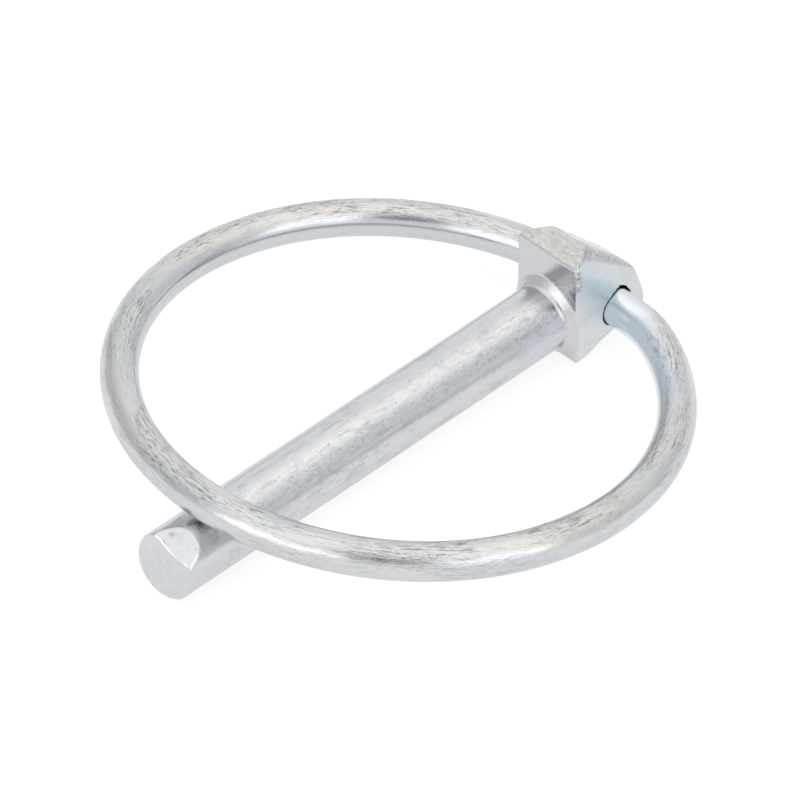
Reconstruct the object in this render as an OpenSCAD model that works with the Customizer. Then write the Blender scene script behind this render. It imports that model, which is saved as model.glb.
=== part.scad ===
/* [Shank] */
// Diameter of the round shank
shank_d = 10; // [8:0.5:12]
// Length of the shank from its sheared end to the shoulder of the head
shank_len = 74.4; // [60:0.2:90]
// Lean of the sheared end face against the square cut
end_lean = 8; // [0:1:12]
// Turn of that lean about the shank, from the top towards the near side
end_lean_turn = 40; // [0:5:60]
// Depth of the lead-in flat where it meets the end face
flat_depth = 1.9; // [0.5:0.1:2.4]
// Length over which the lead-in flat runs out along the shank
flat_len = 5; // [3:0.5:8]
// Turn of the lead-in flat about the shank, from the top towards the near side
flat_turn = 20; // [0:5:45]

/* [Head] */
// Width of the head across its flat sides
head_w = 11.9; // [10.6:0.1:14]
// Offset of the head on the shank, towards the far side
head_off = 0.15; // [0:0.05:0.3]
// Height of the top land above the shank axis
head_rise = 11.4; // [9:0.2:13]
// Depth of the foot below the shank axis
foot_drop = 6.4; // [6:0.1:7.6]
// Length of the foot behind the shoulder
foot_len = 2.3; // [1.6:0.1:3]
// Length of the ramp from the foot up to the belly of the head
ramp_len = 4; // [3:0.25:5]
// Depth of the belly below the shank axis
belly_drop = 4.5; // [4.2:0.1:5.4]
// Length of the head, from the shoulder to the back of the heel
head_len = 15.4; // [14.6:0.1:17]
// Length of the top land behind the shoulder
land_len = 4.7; // [3.6:0.1:6]
// Fall of the straight back behind the land, from level
back_fall = 44.7; // [42:0.1:46]
// Turn of the two struck facets, from square on the sides towards the back
facet_turn = 34.5; // [32:0.5:38]
// Upward tilt of the two struck facets
facet_tilt = 28.8; // [26:0.1:32]
// Distance of the near facet from the mid plane, at the back edge of the land
facet_near = 2.9; // [2.4:0.1:4.5]
// Distance of the far facet from the mid plane, at the back edge of the land
facet_far = 3.7; // [2.4:0.1:4.5]
// Radius of the heel between the back and the belly
heel_r = 4.25; // [2:0.25:5]
// Radius of the corners of the head, seen from the front
corner_r = 0.8; // [0.4:0.1:2]
// Length of the flare that blends the shank into the shoulder
flare_len = 2.3; // [1:0.1:4]
// Radius of the flare
flare_r = 2.6; // [2.4:0.1:5]

/* [Ring] */
// Diameter of the spring wire
wire_d = 5.5; // [4:0.25:6]
// Mean radius of the ring
ring_r = 38.8; // [34:0.2:44]
// Distance from the bore line in to the crest that a full circle would have
end_inset = 1.8; // [1:0.1:3]
// Radius of the bend between each straight end and the ring
bend_r = 12; // [8:0.5:16]
// Gap between the two ends of the wire inside the bore
end_gap = 1; // [0.4:0.1:3]
// Thinning of the wire in its two bends, on the radius
bend_thin = 0.03; // [0.02:0.01:0.1]
// Length of wire over which each bend fades into its neighbours
bend_fade = 0.5; // [0.3:0.1:0.6]
// Sway of the ring in its loose bore, seen from above
ring_sway = -1.5; // [-2:0.1:2]

/* [Fits] */
// Distance of the bore behind the shoulder
bore_back = 8.4; // [8:0.1:9.5]
// Height of the bore above the shank axis
bore_rise = -0.3; // [-0.5:0.1:0.5]
// Play of the wire in the bore, on the radius
bore_play = 0.4; // [0.2:0.05:0.8]
// Gap between the closed ring and the top of the shank
ring_gap = 0.85; // [0.6:0.05:2]

/* [Hidden] */
$fn = 96;
shank_r = shank_d / 2;
wire_r = wire_d / 2;
bore_r = wire_r + bore_play;
half_w = head_w / 2;
spill = 1;

// The wire leaves the bore straight, bends and joins the ring tangentially.
ring_centre = ring_r - end_inset;
bend_y = sqrt(pow(ring_r - bend_r, 2) - pow(ring_centre - bend_r, 2));
bend_angle = atan2(bend_y, ring_centre - bend_r);
fade_angle = bend_fade / bend_r * 180 / PI;
ring_reach = ring_centre + ring_r;
ring_lift = asin((shank_r + ring_gap + wire_r - bore_rise) / ring_reach);

// At rest the pin lies on its foot and on the lower edge of its end.
lie_angle = atan2(foot_drop - shank_r, shank_len + foot_len / 2);

// Middle of the whole, along and across, with the swayed ring in place.
mid_x = (head_len - shank_len) / 2;
mid_y = -ring_centre * sin(ring_sway);

// Stands the pin's own frame, with the shoulder centre as its origin, on the ground.
module lying() {
    translate([-mid_x, -mid_y, foot_drop])
        rotate([0, -lie_angle, 0])
            children();
}

// Turns a drawing in x and height into a slab across the head.
module across(width) {
    rotate([90, 0, 0])
        linear_extrude(height = width, center = true)
            children();
}

module side_outline() {
    heel_x = head_len - heel_r;
    heel_z = heel_r - belly_drop;
    polygon([
        [0, -foot_drop],
        [foot_len, -foot_drop],
        [foot_len + ramp_len, -belly_drop],
        [heel_x, -belly_drop],
        [heel_x, heel_z],
        [head_len, heel_z],
        [head_len, head_rise],
        [0, head_rise]
    ]);
    translate([heel_x, heel_z])
        circle(r = heel_r);
}

module front_outline() {
    tall = head_rise + foot_drop;
    translate([head_off, (head_rise - foot_drop) / 2]) {
        square([head_w, tall - 2 * corner_r], center = true);
        square([head_w - 2 * corner_r, tall], center = true);
        for (y = [-1, 1], z = [-1, 1])
            translate([y * (half_w - corner_r), z * (tall / 2 - corner_r)])
                circle(r = corner_r);
    }
}

// Block beyond a plane through a point of the head, its outward direction turned and tilted.
module struck_off(at, turn, tilt) {
    reach = 2 * head_len;
    translate(at)
        rotate([0, -tilt, turn])
            translate([0, -reach, -reach])
                cube([reach, 2 * reach, 2 * reach]);
}

module forged_head() {
    difference() {
        intersection() {
            across(3 * head_w)
                side_outline();
            rotate([90, 0, 90])
                linear_extrude(height = head_len + spill)
                    front_outline();
        }
        struck_off([land_len, 0, head_rise], 0, 90 - back_fall);
        struck_off([land_len, -facet_near, head_rise], facet_turn - 90, facet_tilt);
        struck_off([land_len, facet_far, head_rise], 90 - facet_turn, facet_tilt);
    }
}

// Hollow flare from the shank out to the shoulder, cut off by the sides of the head.
module flare() {
    intersection() {
        translate([-flare_len, 0, 0])
            rotate([0, 90, 0])
                rotate_extrude()
                    difference() {
                        square([shank_r + flare_r, flare_len]);
                        translate([shank_r + flare_r, 0])
                            circle(r = flare_r);
                    }
        translate([0, head_off, 0])
            cube([3 * flare_len, head_w, 2 * foot_drop], center = true);
    }
}

module shank() {
    difference() {
        translate([-shank_len, 0, 0])
            rotate([0, 90, 0])
                cylinder(r = shank_r, h = shank_len + spill);
        translate([-shank_len, 0, 0])
            rotate([end_lean_turn, 0, 0])
                translate([0, 0, -shank_r])
                    rotate([0, end_lean, 0])
                        translate([-shank_d, -shank_d, -shank_d])
                            cube([shank_d, 2 * shank_d, 4 * shank_d]);
        translate([-shank_len, 0, 0])
            rotate([flat_turn, 0, 0])
                translate([0, 0, shank_r - flat_depth])
                    rotate([0, -atan2(flat_depth, flat_len), 0])
                        translate([-shank_d, -shank_d, 0])
                            cube([3 * shank_d, 2 * shank_d, shank_d]);
    }
}

module pin() {
    color("silver")
        lying()
            difference() {
                union() {
                    shank();
                    forged_head();
                    flare();
                }
                translate([bore_back, 0, bore_rise])
                    rotate([90, 0, 0])
                        cylinder(r = bore_r, h = 2 * head_w, center = true);
            }
}

// Length of wire along an arc of the ring, from one angle to another.
module wire_arc(radius, from, to, thickness) {
    rotate([0, 0, from])
        rotate_extrude(angle = to - from, $fn = 180)
            translate([radius, 0])
                circle(r = thickness);
}

module ring() {
    color("lightsteelblue")
        lying()
            translate([bore_back, 0, bore_rise])
                rotate([0, ring_lift, ring_sway]) {
                    translate([-ring_centre, 0, 0])
                        wire_arc(ring_r, bend_angle, 360 - bend_angle, wire_r);
                    for (side = [0, 1])
                        mirror([0, side, 0]) {
                            translate([-bend_r, bend_y, 0])
                                wire_arc(bend_r, -fade_angle, bend_angle + fade_angle, wire_r - bend_thin);
                            translate([0, end_gap / 2, 0])
                                rotate([-90, 0, 0])
                                    cylinder(r = wire_r, h = bend_y - end_gap / 2);
                        }
                }
}

pin();
ring();
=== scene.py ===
"""Looks of the lynch pin: the forged pin and its spring ring in worn zinc plate."""
import math
from collections import namedtuple
from types import SimpleNamespace

import bpy
import numpy as np
from mathutils import Euler, Matrix, Vector


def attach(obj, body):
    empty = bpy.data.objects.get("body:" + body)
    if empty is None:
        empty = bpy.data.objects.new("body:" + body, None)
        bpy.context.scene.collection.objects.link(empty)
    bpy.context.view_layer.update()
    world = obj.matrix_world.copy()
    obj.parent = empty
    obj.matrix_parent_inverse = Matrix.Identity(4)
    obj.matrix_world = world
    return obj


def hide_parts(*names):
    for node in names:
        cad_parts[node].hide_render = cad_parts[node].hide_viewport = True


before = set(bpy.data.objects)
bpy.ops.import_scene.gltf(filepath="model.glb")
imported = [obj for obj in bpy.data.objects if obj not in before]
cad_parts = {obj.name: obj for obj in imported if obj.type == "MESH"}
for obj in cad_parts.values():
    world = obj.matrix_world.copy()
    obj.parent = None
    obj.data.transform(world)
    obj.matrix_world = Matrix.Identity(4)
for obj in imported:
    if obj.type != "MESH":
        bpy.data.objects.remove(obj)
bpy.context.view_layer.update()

MM = 0.001

# Sizes of the part, in millimetres and degrees, as in its CAD source.
SHANK_R = 5.0
SHANK_LEN = 74.4
END_LEAN = 8.0
END_LEAN_TURN = 40.0
FLAT_DEPTH = 1.9
FLAT_LEN = 5.0
FLAT_TURN = 20.0
HALF_W = 5.95
HEAD_OFF = 0.15
HEAD_RISE = 11.4
FOOT_DROP = 6.4
FOOT_LEN = 2.3
RAMP_LEN = 4.0
BELLY_DROP = 4.5
HEAD_LEN = 15.4
LAND_LEN = 4.7
BACK_FALL = 44.7
FACET_TURN = 34.5
FACET_TILT = 28.8
FACET_NEAR = 2.9
FACET_FAR = 3.7
HEEL_R = 4.25
WIRE_R = 2.75
RING_R = 38.8
END_INSET = 1.8
BEND_R = 12.0
END_GAP = 1.0
RING_SWAY = -1.5
BORE_BACK = 8.4
BORE_RISE = -0.3
BORE_R = 3.15
RING_GAP = 0.85

# The pin's net: its grid and box, how its points are drawn onto the surface, and how twin points are parted.
GRID = 0.25
PIN_LOW = (-76, -7, -8)
PIN_HIGH = (17, 7, 13)
DRAW_STEPS = 6
LEAST_SLOPE = 0.05
TWIN_DIGITS = 2
TWIN_BACK = 0.03

# Fineness of the swept wire.
BEND_KNOTS = 40
ARC_KNOTS = 4000
SAME_KNOT = 1e-6
WIRE_STEPS = 480
WIRE_SIDES = 48
WIRE_END_STEPS = 5

# Rounded edges and filleted corners; the end's edge grows softer from the near side to the far one.
EDGE_R = 0.4
FRONT_EDGE_R = 0.8
FOOT_EDGE_R = 0.8
BACK_EDGE_R = 1.0
LAND_EDGE_R = 0.3
FACET_EDGE_R = 0.5
FLANK_R = 1.1
CHIP_EDGE_R = 0.15
BORE_EDGE_R = 0.12
SCOOP_EDGE_R = 0.35
END_EDGE_R = (0.2, 0.7)
WIRE_END_R = 0.4
FOOT_FILLET = 1.2
CONE_FILLET = 0.35
FLARE_FILLET = 0.2

# Forms that only the looks have: chipped corner, steep flare, rolled bore mouths and scooped flat.
CHIP_DEPTH = 0.45
CHIP_WAY = (-0.6, -0.75, 0.28)
CONE_LEN = 1.2
CONE_RISE = 1.36
RIM = 0.14
RIM_START = 1.5
RIM_END = 0.5
SCOOP_R = 10.0
SCOOP_SAG = 0.3

# Crossed waves that sink a forged surface: depth, directions in radians per millimetre, and phases.
Waves = namedtuple("Waves", "depth ways phases")
HEAD_WAVES = Waves(0.035, ((1.3, 0, 0.8), (0, -0.6, 1.1)), (0.5, 1.9))
SCOOP_WAVES = Waves(0.02, ((1.6, 2.9, 0), (2.3, -1.1, 0)), (0, 0.8))
WAVES_START = (0.6, 2)

# Where the regions of the pin's plating fade in or out: places in millimetres, facings as cosines,
# and the bands of painted highlight and painted shade in degrees around the shank.
LAND_DEPTH = (0.7, 0.1)
LAND_FACING = (0.5, 0.9)
STRUCK_FACING = (0.75, 0.9)
STRUCK_SIDE = (-0.5, 0.8)
REAR_WAY = (0.53, 0.55, 0.75)
REAR_REACH = (6.6, 7.8)
REAR_TOP = (0.75, 0.95)
FLANK_RISE = (-0.3, 0.5)
FLANK_FALL = (1.3, 2.6)
FLANK_SIDE = (4.2, 5.2)
HEAD_START = (0, 0.8)
SIDE_FACING = (0.8, 0.98)
FRONT_FACING = (0.9, 0.99)
FRONT_DEPTH = (-0.6, -0.1)
BURR_MID = 9.6
BURR_HALF = 1.7
BURR_REACH = (0.6, 1.4)
TIP_FACING = (0.93, 0.99)
TIP_RUN = (6, 4)
SMOOTH_RUN = (7, 5)
SHANK_RUN = (0.5 * CONE_LEN, 2 * CONE_LEN)
FLARE_RISE = (-1.5 * CONE_LEN, -CONE_LEN)
FLARE_FALL = (-0.2, 0.1)
HIGHLIGHT_RISE = (8, 16)
HIGHLIGHT_FALL = (22, 30)
HIGHLIGHT_FAR = (6, 14)
SHADE_BAND_RISE = (28, 38)
SHADE_BAND_FALL = (50, 60)

# Regions of the pin's plating and of its painted light and shade, three to each vector attribute of its
# mesh.
PIN_MARKS = {
    "face": ("land", "rear", "front"),
    "spot": ("tip", "shank", "corner"),
    "band": ("flank", "smooth", "side"),
    "roll": ("flare", "shine", "dull"),
}

# Where the wire's tones fade in, in millimetres: along it from its far end, outward in the ring, and up.
# Near the bore mouth and on part of the inner side the wire gets a painted sky-blue reflection.
FRESH_SHEEN_RUN = (225.0, 231.0)
FRESH_SHEEN_SIDE = (0.9, -0.3)
INNER_RUN = (203.0, 220.0)
INNER_SIDE = (0.5, -1.5)
BLUE_SIDE = (-1.2, -2.4)
WARM_RISE = (-0.8, 1.6)
SCUFF_RISE = (1.2, 2.3)
SCUFF_SIDE = (1.0, 2.4)

# Colours of the plating and of its wear, and of painted highlights, reflections, light and shade.
ZINC = (0.612, 0.621, 0.634, 1)
ZINC_BLUE = (0.547, 0.583, 0.619, 1)
# Lilac tint of the plating, and the painted lilac reflection on the flare.
LILAC_TINT_AND_REFLECTION = (0.598, 0.59, 0.63, 1)
# Painted dark reflection of the shank on the front face.
PAINTED_FRONT_REFLECTION = (0.569, 0.58, 0.598, 1)
# Paler tone of the shank, and the painted glint at the chipped corner.
PALE_AND_GLINT = (0.637, 0.649, 0.666, 1)
# Painted highlight along the shank.
PAINTED_HIGHLIGHT = (0.688, 0.698, 0.709, 1)
# Painted light on the near side of the head.
PAINTED_SIDE_LIGHT = (0.70, 0.73, 0.757, 1)
# Painted shade in a band along the shank.
PAINTED_SHADE = (0.529, 0.554, 0.583, 1)
# Painted sky-blue reflection on the wire.
PAINTED_SKY_REFLECTION = (0.75, 0.815, 0.86, 1)
# Painted dark teal reflection on the near flank of the head.
PAINTED_TEAL_REFLECTION = (0.535, 0.635, 0.675, 1)
ZINC_WARM = (0.626, 0.623, 0.601, 1)
# Dull wear, and painted shade where it mottles the shade band of the shank.
ZINC_DULL_AND_SHADE = (0.403, 0.418, 0.432, 1)
LAND_PALE = (0.634, 0.634, 0.612, 1)
LAND_SHARE = 0.8
LAND_SKIN = (0.403, 0.403, 0.382, 1)
REAR_SKIN = (0.338, 0.353, 0.367, 1)
PIT = (0.26, 0.26, 0.255, 1)
STREAK = (0.194, 0.187, 0.176, 1)
EDGE_TINT = (0.92, 0.92, 0.92, 1)
BUMP_STRENGTH = 0.5
BUMP_DEPTH = 0.12

# Noises of the plating, per millimetre and stretched by axis. Where one has a band, that part of it is
# spread over its levels.
Noise = namedtuple(
    "Noise", "scale detail roughness distortion stretched band levels",
    defaults=(0.0, None, None, (0, 1)))

# Noises of the pin.
PIN_CLOUD = Noise(0.16, 2, 0.5, band=(0.35, 0.6))
PIN_TINT = Noise(0.33, 2, 0.5, stretched=(0.6, 1, 1), band=(0.46, 0.64), levels=(0, 0.9))
SMEAR = Noise(0.55, 4, 0.6, 0.6, band=(0.48, 0.64), levels=(0, 0.7))
STIPPLE = Noise(2.2, 5, 0.75, stretched=(0.6, 1, 1), band=(0.47, 0.6), levels=(0, 0.7))
SPECK = Noise(3.0, 3, 0.6, stretched=(0.5, 1, 1), band=(0.60, 0.68), levels=(0, 0.6))
LAND_GRAIN = Noise(1.5, 5, 0.7, 0.5, (1, 0.6, 1), band=(0.42, 0.66), levels=(0, 0.75))
SCALE_GRAIN = Noise(1.5, 6, 0.75, 0.2, (0.5, 0.5, 1), band=(0.38, 0.62), levels=(0.25, 1))
RAGGED = Noise(0.7, 4, 0.6, 0.5)
RAGGED_REACH = 1.2
RAGGED_RIM = (0.85, 1.15)
ROLLED = Noise(0.6, 3, 0.6, stretched=(0.05, 1, 1))
ROLLED_BAND = (0.4, 0.58)
PITTED_BAND = (0.45, 0.6)
BLOT = Noise(0.8, 4, 0.65, 0.4, (0.4, 1, 1))
BLOT_BAND = (0.48, 0.66)
BLOT_RELIEF = 0.5
GRAIN = Noise(2.2, 5, 0.7, 0.3, (0.3, 1, 1))
NICK_BAND = (0.5, 0.72)
ROUGH_BAND = (0.3, 0.75)
ROUGH_LEVELS = (0.13, 0.27)
SKIN_GRAIN = Noise(1.7, 5, 0.65, 0.6)
CHIPPED_BAND = (0.5, 0.58)
PIT_RELIEF = -0.4

# Noises of the wire.
WIRE_CLOUD = Noise(0.2, 2, 0.5, stretched=(0.4, 1, 1), band=(0.36, 0.6))
WIRE_WARMTH = Noise(0.25, 2, 0.5, stretched=(0.2, 1, 1), band=(0.4, 0.56), levels=(0.1, 0.9))
WIRE_PATCH = Noise(0.3, 3, 0.6, stretched=(0.25, 1, 1), band=(0.39, 0.55), levels=(0.06, 1))
WIRE_STREAK = Noise(3.0, 5, 0.75, 0.35, (0.1, 1, 1))
STREAK_BAND = (0.52, 0.62)
WIRE_FINE = Noise(7.0, 4, 0.7, 0.3, (0.1, 1, 1))
SCRATCH_BAND = (0.53, 0.61)

# Floor: its side in metres, its grey, and its own light.
FLOOR_SIZE = 6.0
FLOOR_GREY = 0.3
FLOOR_GLOW = 0.77

# Studio: levels of the walls by height, and panels in degrees as seen from the part: a soft box on
# each side of the dark camera, a low fill between them, a pale far wall and a darker one beside it.
STUDIO = 1.39
WALLS = ((0.0, 0.63), (0.3, 0.61), (0.55, 0.68), (0.75, 0.84), (0.87, 0.96), (1.0, 0.92))
Panel = namedtuple("Panel", "azimuth half low high soft gain")
PANELS = (
    Panel(azimuth=269, half=21, low=13, high=49, soft=6, gain=0.54),
    Panel(azimuth=184, half=24, low=12, high=38, soft=6, gain=0.70),
    Panel(azimuth=222, half=70, low=-10, high=22, soft=12, gain=0.14),
    Panel(azimuth=38, half=24, low=-10, high=30, soft=16, gain=0.19),
    Panel(azimuth=112, half=38, low=-15, high=48, soft=14, gain=-0.10),
)
DARK_WAY = (-0.513, -0.570, 0.643)
DARK_EDGE = (0.95, 0.988)
DARK_LEVEL = 0.25
SKY_COOL = (0.985, 1.0, 1.02, 1)
SKY_WARM = (1.01, 1.0, 0.985, 1)
SKY_BAND = (0.2, 0.75)

# Camera of the photograph: lens in millimetres, place in metres, turns about X, Y and Z in degrees.
LENS = 276.469
SENSOR = 36
CAMERA_AT = (-0.446963, -0.453775, 0.575144)
CAMERA_TURN = (48.29, -0.4717, -44.2322)

# The wire leaves the bore straight, bends and joins the ring tangentially; the pin lies on its foot and end.
RING_CENTRE = RING_R - END_INSET
BEND_Y = math.sqrt((RING_R - BEND_R) ** 2 - (RING_CENTRE - BEND_R) ** 2)
BEND_ANGLE = math.atan2(BEND_Y, RING_CENTRE - BEND_R)
RING_LIFT = math.asin((SHANK_R + RING_GAP + WIRE_R - BORE_RISE) / (RING_CENTRE + RING_R))
LIE = math.atan2(FOOT_DROP - SHANK_R, SHANK_LEN + FOOT_LEN / 2)
MID_X = (HEAD_LEN - SHANK_LEN) / 2
MID_Y = -RING_CENTRE * math.sin(math.radians(RING_SWAY))


def turn(axis, degrees):
    return np.array(Matrix.Rotation(math.radians(degrees), 3, axis))


LYING = turn("Y", -math.degrees(LIE))
LYING_AT = np.array([-MID_X, -MID_Y, FOOT_DROP])
SHANK_END = np.array([-SHANK_LEN, 0, 0])
END_WAY = turn("X", END_LEAN_TURN) @ turn("Y", END_LEAN) @ [-1, 0, 0]


def lying(points):
    """Points of the pin's own frame, in millimetres, as they lie in the part, in metres."""
    return (points @ LYING.T + LYING_AT) * MM


def meet(a, b, radius):
    """Common solid of two signed distances, its edge rounded."""
    corner = np.hypot(np.maximum(a + radius, 0), np.maximum(b + radius, 0))
    return np.minimum(np.maximum(a, b), -radius) + corner


def join(a, b, radius):
    """Union of two signed distances, its inner corner filleted."""
    return -meet(-a, -b, radius)


def ease(value, low, high):
    """Weight that rises smoothly from 0 to 1 as a value goes from low to high."""
    t = np.clip((value - low) / (high - low), 0, 1)
    return t * t * (3 - 2 * t)


def between(value, rise, fall):
    """Weight that rises over one band of a value and falls over a later one."""
    return ease(value, *rise) * (1 - ease(value, *fall))


def plane(p, at, normal):
    return (p - at) @ normal


def struck_way(turned, tilted):
    """Outward direction of a struck plane, turned from the back and tilted up."""
    return turn("Z", turned) @ turn("Y", -tilted) @ [1, 0, 0]


def near_facet(p):
    return plane(p, (LAND_LEN, -FACET_NEAR, HEAD_RISE), struck_way(FACET_TURN - 90, FACET_TILT))


def far_facet(p):
    return plane(p, (LAND_LEN, FACET_FAR, HEAD_RISE), struck_way(90 - FACET_TURN, FACET_TILT))


def sunk(p, waves):
    """Depth to which crossed waves sink a surface, from nothing to twice their own."""
    x, y, z = p.T
    first, second = (
        np.sin(a * x + b * y + c * z + phase)
        for (a, b, c), phase in zip(waves.ways, waves.phases))
    return waves.depth * (1 + first * second)


def scoop_field(p):
    """Lead-in flat on the end of the shank, scooped and dented."""
    slope = math.degrees(math.atan2(FLAT_DEPTH, FLAT_LEN))
    flat = turn("X", FLAT_TURN)
    at = SHANK_END + flat @ [0, 0, SHANK_R - FLAT_DEPTH]
    tilt = flat @ turn("Y", -slope)
    cut = plane(p, at, tilt @ [0, 0, 1])
    ball = at + tilt @ [FLAT_LEN / 2, 0, SCOOP_R - SCOOP_SAG]
    cut = np.maximum(cut, SCOOP_R - np.linalg.norm(p - ball, axis=1))
    return cut + sunk(p, SCOOP_WAVES)


def shank_field(p):
    """Round shank with its steep flare, lead-in flat and sheared end."""
    off = np.hypot(p[:, 1], p[:, 2]) - SHANK_R
    tilt = math.atan2(CONE_RISE, CONE_LEN)
    cone = off * math.cos(tilt) - (p[:, 0] + CONE_LEN) * math.sin(tilt)
    rod = join(off, np.maximum(cone, off - CONE_RISE), CONE_FILLET)
    rod = meet(rod, np.abs(p[:, 1] - HEAD_OFF) - HALF_W, EDGE_R)
    rod = meet(rod, scoop_field(p), SCOOP_EDGE_R)
    face = plane(p, SHANK_END + turn("X", END_LEAN_TURN) @ [0, 0, -SHANK_R], END_WAY)
    rod = meet(rod, face, np.interp(p[:, 1], (-SHANK_R, SHANK_R), END_EDGE_R))
    return np.maximum(rod, p[:, 0] - EDGE_R)


def belly_field(x, z):
    """Underside of the head: foot, ramp and belly."""
    slope = math.atan2(FOOT_DROP - BELLY_DROP, RAMP_LEN)
    ramp = (x - FOOT_LEN) * math.sin(slope) - (z + FOOT_DROP) * math.cos(slope)
    foot = meet(-FOOT_DROP - z, ramp, EDGE_R)
    return join(foot, -BELLY_DROP - z, FOOT_FILLET)


def heel_field(x, z):
    """Back end of the head with its rounded heel."""
    back = x - (HEAD_LEN - HEEL_R)
    low = HEEL_R - BELLY_DROP - z
    outside = np.hypot(np.maximum(back, 0), np.maximum(low, 0))
    inside = np.minimum(np.maximum(back, low), 0)
    return np.minimum(outside + inside - HEEL_R, back)


def head_field(p):
    """Forged head: flat sides, top land, struck back and facets, foot, heel and chipped corner."""
    x, y, z = p.T
    near = meet(near_facet(p), HEAD_OFF - HALF_W - y, FLANK_R)
    far = meet(far_facet(p), y - HEAD_OFF - HALF_W, FLANK_R)
    back = plane(p, (LAND_LEN, 0, HEAD_RISE), struck_way(0, 90 - BACK_FALL))
    top = meet(z - HEAD_RISE, back, LAND_EDGE_R)
    head = meet(np.maximum(near, far), top, FACET_EDGE_R)
    head = meet(head, -x, np.interp(z, (BURR_MID, HEAD_RISE), (EDGE_R, FRONT_EDGE_R)))
    head = meet(head, belly_field(x, z), FOOT_EDGE_R)
    head = meet(head, heel_field(x, z), BACK_EDGE_R)
    head = head + sunk(p, HEAD_WAVES) * ease(x, *WAVES_START)
    way = np.array(CHIP_WAY) / np.linalg.norm(CHIP_WAY)
    chip = plane(p, np.array([0, HEAD_OFF - HALF_W, HEAD_RISE]) - CHIP_DEPTH * way, way)
    return meet(head, chip, CHIP_EDGE_R)


def pin_field(p):
    """Whole pin, less the cross bore with its rolled mouths."""
    x, y, z = p.T
    solid = join(shank_field(p), head_field(p), FLARE_FILLET)
    rim = RIM * ease(np.abs(y - HEAD_OFF), HALF_W - RIM_START, HALF_W - RIM_END)
    bore = BORE_R - rim - np.hypot(x - BORE_BACK, z - BORE_RISE)
    return meet(solid, bore, BORE_EDGE_R)


def slope_of(field, p, step=0.01):
    """Slope of a field along each axis."""
    parts = []
    for axis in range(3):
        move = np.zeros(3)
        move[axis] = step
        parts.append((field(p + move) - field(p - move)) / (2 * step))
    return np.stack(parts, 1)


def fill_diagonals(inside):
    """Fills where a solid meets itself only across a diagonal, so that no edge of the net has four faces."""
    found = True
    while found:
        found = False
        for pair in ((0, 1), (1, 2), (0, 2)):
            view = np.moveaxis(inside, pair, (0, 1))
            cross = (view[:-1, :-1] == view[1:, 1:]) & (view[1:, :-1] == view[:-1, 1:])
            cross &= view[:-1, :-1] != view[1:, :-1]
            found |= bool(cross.any())
            for part in (view[:-1, :-1], view[1:, :-1], view[:-1, 1:], view[1:, 1:]):
                part |= cross


def net_faces(inside, number):
    """Quads of a net, one around each grid edge that leaves the solid, from its cells' numbers."""
    faces = []
    for axis in range(3):
        a, b = (axis + 1) % 3, (axis + 2) % 3
        count = inside.shape[axis]
        first = np.take(inside, range(count - 1), axis)
        second = np.take(inside, range(1, count), axis)
        for sign, crossing in ((1, first & ~second), (-1, second & ~first)):
            at = np.argwhere(crossing)
            ring = []
            for da, db in ((-1, -1), (0, -1), (0, 0), (-1, 0)):
                cell = at.copy()
                cell[:, a] += da
                cell[:, b] += db
                ring.append(number[tuple(cell.T)])
            faces.append(np.stack(ring[::sign], 1))
    return np.concatenate(faces).tolist()


def skin(field, low, high, step):
    """Net of quads on the zero surface of a field, its points drawn onto that surface."""
    axes = [np.arange(a, b + step, step) for a, b in zip(low, high)]
    counts = [len(a) for a in axes]
    points = np.stack(np.meshgrid(*axes, indexing="ij"), -1).reshape(-1, 3)
    inside = field(points).reshape(counts) < 0
    fill_diagonals(inside)
    corners = np.zeros([c - 1 for c in counts], int)
    for i, j, k in np.ndindex(2, 2, 2):
        corners += inside[i:counts[0] - 1 + i, j:counts[1] - 1 + j, k:counts[2] - 1 + k]
    used = (corners > 0) & (corners < 2 ** 3)
    number = np.full(used.shape, -1)
    number[used] = np.arange(used.sum())
    centres = np.argwhere(used) * step + np.array(low) + step / 2
    verts = centres
    for _ in range(DRAW_STEPS):
        slope = slope_of(field, verts)
        size = np.maximum((slope ** 2).sum(1), LEAST_SLOPE)
        verts = verts - np.clip(field(verts) / size, -step, step)[:, None] * slope
    normals = slope_of(field, verts)
    rounded = np.round(verts, TWIN_DIGITS)
    _, place, count = np.unique(rounded, axis=0, return_inverse=True, return_counts=True)
    twin = count[place.ravel()] > 1
    verts[twin] += TWIN_BACK * (centres - verts)[twin]
    return verts, net_faces(inside, number), normals / np.linalg.norm(normals, axis=1)[:, None]


def wire_path():
    """Points and tangents at even steps along the middle of the bent wire."""
    knots = [np.array([[0, END_GAP / 2], [0, BEND_Y]])]
    bend = np.linspace(0, BEND_ANGLE, BEND_KNOTS)
    knots.append(np.array([-BEND_R, BEND_Y]) + BEND_R * np.stack([np.cos(bend), np.sin(bend)], 1))
    arc = np.linspace(BEND_ANGLE, 2 * math.pi - BEND_ANGLE, ARC_KNOTS)
    knots.append(np.array([-RING_CENTRE, 0]) + RING_R * np.stack([np.cos(arc), np.sin(arc)], 1))
    knots += [k[::-1] * [1, -1] for k in knots[1::-1]]
    line = np.concatenate(knots)
    gap = np.linalg.norm(np.diff(line, axis=0), axis=1)
    line = line[np.concatenate([[True], gap > SAME_KNOT])]
    run = np.concatenate([[0], np.cumsum(np.linalg.norm(np.diff(line, axis=0), axis=1))])
    even = np.linspace(0, run[-1], WIRE_STEPS)
    points = np.stack([np.interp(even, run, line[:, k]) for k in (0, 1)], 1)
    tangents = np.gradient(points, axis=0)
    return points, tangents / np.linalg.norm(tangents, axis=1)[:, None]


def wire_stations():
    """Place, tangent, shift along it and radius of each round of the wire, its ends softened."""
    points, tangents = wire_path()
    quarter = np.linspace(0, math.pi / 2, WIRE_END_STEPS)
    end = [(WIRE_END_R * (1 - math.cos(a)), WIRE_R - WIRE_END_R * (1 - math.sin(a))) for a in quarter]
    stations = [(points[0], tangents[0], shift, size) for shift, size in end]
    stations += [(at, t, 0, WIRE_R) for at, t in zip(points[2:-2], tangents[2:-2])]
    stations += [(points[-1], tangents[-1], -shift, size) for shift, size in end[::-1]]
    return stations


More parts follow.
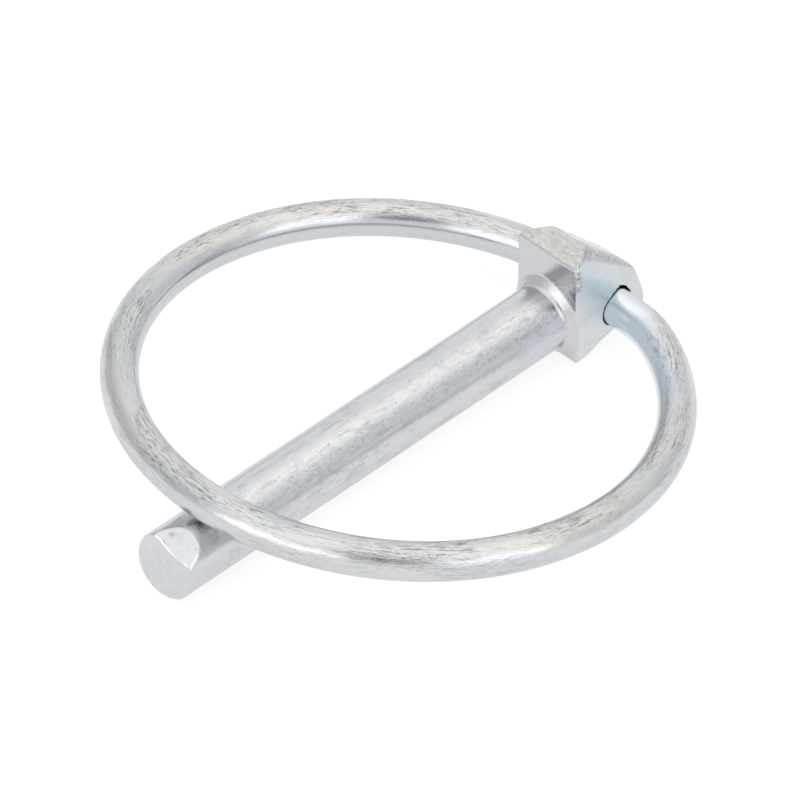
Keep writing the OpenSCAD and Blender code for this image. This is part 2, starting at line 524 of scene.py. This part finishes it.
def wire_skin():
    """Points, faces and normals of the ring, and each point's run along the wire and place across it."""
    angle = np.linspace(0, 2 * math.pi, WIRE_SIDES, endpoint=False)
    verts, normals, marks = [], [], []
    run = 0.0
    last = None
    for at, t, shift, size in wire_stations():
        centre = np.array([*(at + shift * t), 0])
        side = np.array([t[1], -t[0], 0])
        if last is not None:
            run += np.linalg.norm(centre - last)
        last = centre
        out = np.outer(np.cos(angle), side) + np.outer(np.sin(angle), [0, 0, 1])
        verts.append(centre + size * out)
        normals.append(out)
        across = WIRE_R * np.cos(angle), WIRE_R * np.sin(angle)
        marks.append(np.stack([np.full(WIRE_SIDES, run), *across], 1))
    final = (len(verts) - 1) * WIRE_SIDES
    faces = []
    for a in range(0, final, WIRE_SIDES):
        b = a + WIRE_SIDES
        for j in range(WIRE_SIDES):
            k = (j + 1) % WIRE_SIDES
            faces.append([a + j, b + j, b + k, a + k])
    faces.append(list(range(WIRE_SIDES)))
    faces.append(list(range(final, final + WIRE_SIDES))[::-1])
    verts, normals, marks = (np.concatenate(v) for v in (verts, normals, marks))
    swing = turn("Z", RING_SWAY) @ turn("Y", math.degrees(RING_LIFT))
    verts = verts @ swing.T + [BORE_BACK, 0, BORE_RISE]
    return verts, faces, normals @ swing.T, marks


def mesh_object(name, verts, faces, normals):
    """Smooth object of a piece, given in the pin's own frame and laid in the part's."""
    mesh = bpy.data.meshes.new(name)
    mesh.from_pydata(lying(verts).tolist(), [], faces)
    mesh.shade_smooth()
    mesh.normals_split_custom_set_from_vertices((normals @ LYING.T).tolist())
    made = bpy.data.objects.new(name, mesh)
    bpy.context.scene.collection.objects.link(made)
    return made


def keep_vectors(visual, name, vectors):
    mark = visual.data.attributes.new(name, "FLOAT_VECTOR", "POINT")
    mark.data.foreach_set("vector", np.asarray(vectors, float).ravel())


def pin_regions(verts, normals):
    """Weight, at each point of the pin, of each region that its plating and its painted light and shade tell
    apart.
    """
    x, y, z = verts.T
    up = normals[:, 2]
    facet = ease(normals @ struck_way(FACET_TURN - 90, FACET_TILT), *STRUCK_FACING)
    back = ease(normals @ struck_way(0, 90 - BACK_FALL), *STRUCK_FACING) * ease(-y, *STRUCK_SIDE)
    rear = ease(verts @ REAR_WAY, *REAR_REACH) * (1 - ease(up, *REAR_TOP))
    flank = between(-near_facet(verts), FLANK_RISE, FLANK_FALL) * ease(-y, *FLANK_SIDE)
    burr_rise = np.maximum(np.abs(z - BURR_MID) - BURR_HALF, 0)
    burr = np.hypot(np.hypot(x, y - HEAD_OFF + HALF_W), burr_rise)
    from_end = x + SHANK_LEN
    shank = ease(-x, *SHANK_RUN)
    smooth = ease(from_end, *SMOOTH_RUN)
    barrel = shank * (1 - smooth)
    around = np.degrees(np.arctan2(-y, z))
    return {
        "land": ease(HEAD_RISE - z, *LAND_DEPTH) * ease(up, *LAND_FACING),
        "rear": rear * np.maximum(facet, back),
        # Front face, where a painted dark reflection goes.
        "front": ease(-normals[:, 0], *FRONT_FACING) * ease(x, *FRONT_DEPTH),
        "tip": ease(normals @ END_WAY, *TIP_FACING) * ease(from_end, *TIP_RUN),
        "shank": shank,
        # Chipped corner, where a painted glint goes over its pits.
        "corner": 1 - ease(burr, *BURR_REACH),
        # Near flank, where a painted dark teal reflection goes.
        "flank": flank * ease(x, *HEAD_START),
        "smooth": smooth,
        # Near side of the head, where painted light goes.
        "side": ease(-normals[:, 1], *SIDE_FACING) * ease(x, *HEAD_START),
        # Flare, where a painted lilac reflection goes.
        "flare": between(x, FLARE_RISE, FLARE_FALL),
        # Band where a painted highlight runs along the shank.
        "shine": (between(around, HIGHLIGHT_RISE, HIGHLIGHT_FALL) + ease(-around, *HIGHLIGHT_FAR)) * barrel,
        # Band where painted shade runs along the shank.
        "dull": between(around, SHADE_BAND_RISE, SHADE_BAND_FALL) * barrel,
    }


def node(tree, kind, inputs=None, **settings):
    """New shader node; each input is linked where it is a socket and set where it is a value."""
    made = tree.nodes.new("ShaderNode" + kind)
    for name, value in settings.items():
        setattr(made, name, value)
    for key, value in (inputs or {}).items():
        if isinstance(value, bpy.types.NodeSocket):
            tree.links.new(value, made.inputs[key])
        else:
            made.inputs[key].default_value = value
    return made


def math_node(tree, operation, a, b):
    return node(tree, "Math", {0: a, 1: b}, operation=operation).outputs[0]


def plus(tree, *values):
    total = values[0]
    for value in values[1:]:
        total = math_node(tree, "ADD", total, value)
    return total


def times(tree, a, b):
    return math_node(tree, "MULTIPLY", a, b)


def mix(tree, factor, a, b):
    """Colour a, turning into b as the factor goes from 0 to 1."""
    made = node(tree, "Mix", {0: factor, 6: a, 7: b}, data_type="RGBA")
    return made.outputs[2]


def span(tree, value, low, high, to_low=0.0, to_high=1.0):
    """Value taken from the band low to high onto the band to_low to to_high, and held at its ends."""
    return node(tree, "MapRange", {"Value": value, "From Min": low, "From Max": high,
                                   "To Min": to_low, "To Max": to_high}).outputs["Result"]


def level(tree, weight, off, full):
    """Level that goes from off to full with a weight."""
    return span(tree, weight, 0, 1, off, full)


def stretch(tree, vector, scale):
    return node(tree, "Mapping", {"Vector": vector, "Scale": scale}).outputs["Vector"]


def noise(tree, vector, kind):
    """Noise of a kind, spread over its levels where it has a band."""
    if kind.stretched:
        vector = stretch(tree, vector, kind.stretched)
    made = node(tree, "TexNoise", {"Vector": vector, "Scale": kind.scale, "Detail": kind.detail,
                                   "Roughness": kind.roughness, "Distortion": kind.distortion})
    value = made.outputs["Fac"]
    return span(tree, value, *kind.band, *kind.levels) if kind.band else value


def attribute(tree, name):
    return node(tree, "Attribute", attribute_name=name).outputs["Vector"]


def parts_of(tree, vector):
    return list(node(tree, "SeparateXYZ", {0: vector}).outputs)


def shader_tree(name):
    made = bpy.data.materials.new(name)
    made.use_nodes = True
    made.node_tree.nodes.clear()
    return made, made.node_tree


def finish_zinc(tree, colour, rough, height):
    """Ends a tree in a plated metal with the given colour, roughness and relief."""
    bump = node(tree, "Bump", {"Height": height, "Strength": BUMP_STRENGTH, "Distance": BUMP_DEPTH * MM})
    shader = node(tree, "BsdfPrincipled", {"Base Color": colour, "Metallic": 1.0, "Roughness": rough,
                                           "Specular Tint": EDGE_TINT, "Normal": bump.outputs["Normal"]})
    output = node(tree, "OutputMaterial")
    tree.links.new(shader.outputs[0], output.inputs[0])


def plate_colour(tree, vector, on):
    """Drifting blue and lilac tints of the plating, with the tone of each region over them: painted
    reflections on the front face, flank and flare, a painted glint at the chipped corner, a painted
    highlight and painted shade along the shank, and painted light on the near side.
    """
    colour = mix(tree, noise(tree, vector, PIN_CLOUD), ZINC_BLUE, ZINC)
    colour = mix(tree, noise(tree, vector, PIN_TINT), colour, LILAC_TINT_AND_REFLECTION)
    tones = (
        # Painted dark reflection on the front face.
        (on.front, 0.8, PAINTED_FRONT_REFLECTION),
        # Painted teal reflection on the near flank.
        (on.flank, 0.85, PAINTED_TEAL_REFLECTION),
        (on.shank, 0.4, PALE_AND_GLINT),
        # Painted highlight along the shank.
        (on.shine, 0.6, PAINTED_HIGHLIGHT),
        # Painted shade along the shank.
        (on.dull, 0.6, PAINTED_SHADE),
        # Painted lilac reflection on the flare.
        (on.flare, 0.7, LILAC_TINT_AND_REFLECTION),
        # Painted glint at the chipped corner.
        (on.corner, 0.9, PALE_AND_GLINT))
    for region, share, tone in tones:
        colour = mix(tree, times(tree, region, share), colour, tone)
    # Painted light on the near side of the head, away from its flank.
    plain = math_node(tree, "SUBTRACT", on.side, on.flank)
    colour = mix(tree, level(tree, plain, 0, 0.9), colour, PAINTED_SIDE_LIGHT)
    smear = noise(tree, vector, SMEAR)
    return mix(tree, times(tree, on.smooth, smear), colour, ZINC_BLUE)


def rolling_wear_and_shade(tree, vector, on):
    """Dull blots and nicks in lengthwise bands along the shank, fainter on the head, and a mottling that
    deepens the painted shade band along the shank.
    """
    blots = span(tree, on.blot, *BLOT_BAND, 0, 0.6)
    blots = times(tree, blots, span(tree, on.rolled, *ROLLED_BAND, 0.2, 1))
    nicks = span(tree, on.grain, *NICK_BAND, 0, 0.5)
    nicks = times(tree, nicks, span(tree, on.rolled, *ROLLED_BAND, 0.1, 1))
    # Mottling laid only in the shade band, deepening the painted shade there.
    shade_mottle = times(tree, on.dull, noise(tree, vector, STIPPLE))
    worn = times(tree, plus(tree, blots, nicks, shade_mottle), on.clean)
    return times(tree, worn, level(tree, on.shank, 0.3, 1))


def forging_scale(tree, vector, on):
    """Dark scale with a ragged rim on the rear of the near facet."""
    rim = plus(tree, on.rear, times(tree, noise(tree, vector, RAGGED), RAGGED_REACH))
    patch = times(tree, span(tree, rim, *RAGGED_RIM), on.rear)
    return times(tree, patch, noise(tree, vector, SCALE_GRAIN))


def pitting(tree, vector, on):
    """Dark pits in lengthwise bands along the shank, and around the chipped corner."""
    pits = times(tree, noise(tree, vector, SPECK), span(tree, on.rolled, *PITTED_BAND, 0.1, 1))
    pits = times(tree, times(tree, pits, on.clean), level(tree, on.shank, 0.25, 1))
    return plus(tree, pits, times(tree, on.corner, span(tree, on.skin, *CHIPPED_BAND, 0, 0.9)))


def forged_zinc():
    """Plating of the pin, from the regions marked on its mesh and the noises that they share."""
    made, tree = shader_tree("zinc_forged")
    on = SimpleNamespace()
    for mark, regions in PIN_MARKS.items():
        vars(on).update(zip(regions, parts_of(tree, attribute(tree, mark))))
    place = node(tree, "TexCoord").outputs["Object"]
    vector = stretch(tree, place, (1 / MM, 1 / MM, 1 / MM))
    on.rolled = noise(tree, vector, ROLLED)
    on.grain = noise(tree, vector, GRAIN)
    on.blot = noise(tree, vector, BLOT)
    on.skin = noise(tree, vector, SKIN_GRAIN)
    on.clean = level(tree, on.smooth, 1, 0.3)
    colour = plate_colour(tree, vector, on)
    colour = mix(tree, rolling_wear_and_shade(tree, vector, on), colour, ZINC_DULL_AND_SHADE)
    colour = mix(tree, times(tree, on.land, LAND_SHARE), colour, LAND_PALE)
    colour = mix(tree, times(tree, on.land, noise(tree, vector, LAND_GRAIN)), colour, LAND_SKIN)
    scaled = forging_scale(tree, vector, on)
    colour = mix(tree, scaled, colour, REAR_SKIN)
    pits = pitting(tree, vector, on)
    colour = mix(tree, pits, colour, PIT)
    rough = span(tree, on.grain, *ROUGH_BAND, *ROUGH_LEVELS)
    roughened = ((on.land, 0.16), (scaled, 0.16), (on.tip, 0.06), (on.front, -0.06),
                 (on.side, 0.3), (on.smooth, -0.04), (on.shank, 0.03), (on.flare, 0.1))
    for region, added in roughened:
        rough = plus(tree, rough, times(tree, region, added))
    grained = times(tree, times(tree, on.grain, level(tree, on.shank, 0.12, 0.4)), on.clean)
    blotted = times(tree, times(tree, on.blot, on.shank), BLOT_RELIEF)
    coarse = level(tree, plus(tree, on.land, scaled, on.corner), 0.1, 1.1)
    height = plus(tree, grained, blotted, times(tree, on.skin, coarse), times(tree, pits, PIT_RELIEF))
    finish_zinc(tree, colour, rough, height)
    return made


def wire_zinc():
    """Plating of the ring: scuffed drawing streaks on top, warm patches, and fresh with a painted sky-blue
    reflection near the bore mouth, as on part of the inner side.
    """
    made, tree = shader_tree("zinc_wire")
    vector = attribute(tree, "run")
    run, out, up = parts_of(tree, vector)
    # Unworn wire by the bore mouth, with a painted sky-blue reflection.
    fresh_and_sheen = times(tree, span(tree, run, *FRESH_SHEEN_RUN), span(tree, out, *FRESH_SHEEN_SIDE))
    old = level(tree, fresh_and_sheen, 1, 0.1)
    colour = mix(tree, noise(tree, vector, WIRE_CLOUD), ZINC_BLUE, ZINC)
    warm = times(tree, noise(tree, vector, WIRE_WARMTH), span(tree, up, *WARM_RISE))
    colour = mix(tree, times(tree, warm, old), colour, ZINC_WARM)
    colour = mix(tree, span(tree, out, *BLUE_SIDE, 0, 0.6), colour, ZINC_BLUE)
    # Part of the inner side, with the same painted sky-blue reflection.
    inner = times(tree, span(tree, run, *INNER_RUN), span(tree, out, *INNER_SIDE, 0, 0.8))
    colour = mix(tree, math_node(tree, "MAXIMUM", inner, times(tree, fresh_and_sheen, 0.85)), colour, PAINTED_SKY_REFLECTION)
    scuffed = plus(tree, span(tree, up, *SCUFF_RISE), span(tree, out, *SCUFF_SIDE, 0, 0.4))
    worn = times(tree, noise(tree, vector, WIRE_PATCH), level(tree, scuffed, 0.09, 1))
    worn = times(tree, worn, old)
    streak = noise(tree, vector, WIRE_STREAK)
    fine = noise(tree, vector, WIRE_FINE)
    dark = times(tree, span(tree, streak, *STREAK_BAND, 0, 0.9), worn)
    scratch = times(tree, span(tree, fine, *SCRATCH_BAND, 0, 0.85), level(tree, worn, 0.12, 1))
    colour = mix(tree, math_node(tree, "MAXIMUM", dark, scratch), colour, STREAK)
    rough = plus(tree, level(tree, worn, 0.09, 0.21), times(tree, dark, 0.2), times(tree, fresh_and_sheen, 0.14))
    drawn = times(tree, streak, level(tree, worn, 0.1, 0.8))
    scratched = times(tree, fine, level(tree, worn, 0.04, 0.7))
    finish_zinc(tree, colour, rough, plus(tree, drawn, scratched))
    return made


def paper():
    """Pale floor that keeps the object's shadow; the metal sees it at the level that the camera sees."""
    made, tree = shader_tree("paper")
    diffuse = node(tree, "BsdfDiffuse", {"Color": (FLOOR_GREY, FLOOR_GREY, FLOOR_GREY, 1)})
    glow = node(tree, "Emission", {"Color": (1, 1, 1, 1), "Strength": FLOOR_GLOW})
    both = node(tree, "AddShader", {0: diffuse.outputs[0], 1: glow.outputs[0]})
    tree.links.new(both.outputs[0], node(tree, "OutputMaterial").inputs[0])
    return made


def toward(tree, direction, way):
    return node(tree, "VectorMath", {0: direction, 1: way}, operation="DOT_PRODUCT").outputs["Value"]


def panel_light(tree, direction, height, panel):
    """Light of a soft-edged panel, given in degrees as seen from the part."""
    a = math.radians(panel.azimuth)
    sideways = toward(tree, direction, (-math.sin(a), math.cos(a), 0))
    ahead = toward(tree, direction, (math.cos(a), math.sin(a), 0))
    off = math_node(tree, "ABSOLUTE", math_node(tree, "ARCTAN2", sideways, ahead), 0.0)
    edges = math.radians(panel.half - panel.soft), math.radians(panel.half + panel.soft)
    light = span(tree, off, *edges, panel.gain, 0)
    for edge, levels in ((panel.low, (0, 1)), (panel.high, (1, 0))):
        edges = math.sin(math.radians(edge - panel.soft)), math.sin(math.radians(edge + panel.soft))
        light = times(tree, light, span(tree, height, *edges, *levels))
    return light


def studio():
    """World of walls that brighten with height, the panels and the dark place of the camera."""
    world = bpy.data.worlds.new("studio")
    world.use_nodes = True
    tree = world.node_tree
    tree.nodes.clear()
    direction = node(tree, "TexCoord").outputs["Generated"]
    height = node(tree, "SeparateXYZ", {0: direction}).outputs["Z"]
    walls = node(tree, "ValToRGB", {0: height})
    stops = walls.color_ramp.elements
    for position, _ in WALLS[1:-1]:
        stops.new(position)
    for stop, (_, grey) in zip(stops, WALLS):
        stop.color = (grey, grey, grey, 1)
    panels = [panel_light(tree, direction, height, panel) for panel in PANELS]
    light = plus(tree, walls.outputs[0], *panels)
    dark = span(tree, toward(tree, direction, DARK_WAY), *DARK_EDGE, 1, DARK_LEVEL)
    tint = mix(tree, span(tree, height, *SKY_BAND), SKY_COOL, SKY_WARM)
    strength = times(tree, times(tree, light, dark), STUDIO)
    sky = node(tree, "Background", {"Color": tint, "Strength": strength})
    tree.links.new(sky.outputs[0], node(tree, "OutputWorld").inputs[0])
    return world


def photo_camera():
    data = bpy.data.cameras.new("camera")
    data.lens = LENS
    data.sensor_width = SENSOR
    made = bpy.data.objects.new("camera", data)
    bpy.context.scene.collection.objects.link(made)
    turned = Euler([math.radians(angle) for angle in CAMERA_TURN])
    made.matrix_world = Matrix.LocRotScale(Vector(CAMERA_AT), turned, None)
    return made


verts, faces, normals = skin(pin_field, PIN_LOW, PIN_HIGH, GRID)
pin_visual = mesh_object("pin_forged", verts, faces, normals)
weights = pin_regions(verts, normals)
for mark, regions in PIN_MARKS.items():
    keep_vectors(pin_visual, mark, np.stack([weights[region] for region in regions], 1))
pin_visual.data.materials.append(forged_zinc())

verts, faces, normals, marks = wire_skin()
ring_visual = mesh_object("ring_wire", verts, faces, normals)
keep_vectors(ring_visual, "run", marks)
ring_visual.data.materials.append(wire_zinc())

for visual, name in ((pin_visual, "pin"), (ring_visual, "ring")):
    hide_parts(name)
    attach(visual, name)

half = FLOOR_SIZE / 2
floor_corners = [(-half, -half, 0), (half, -half, 0), (half, half, 0), (-half, half, 0)]
floor_mesh = bpy.data.meshes.new("floor")
floor_mesh.from_pydata(floor_corners, [], [(0, 1, 2, 3)])
floor_mesh.materials.append(paper())
floor = bpy.data.objects.new("floor", floor_mesh)
bpy.context.scene.collection.objects.link(floor)

bpy.context.scene.world = studio()
bpy.context.scene.camera = photo_camera()
bpy.context.scene.view_settings.view_transform = "Standard"
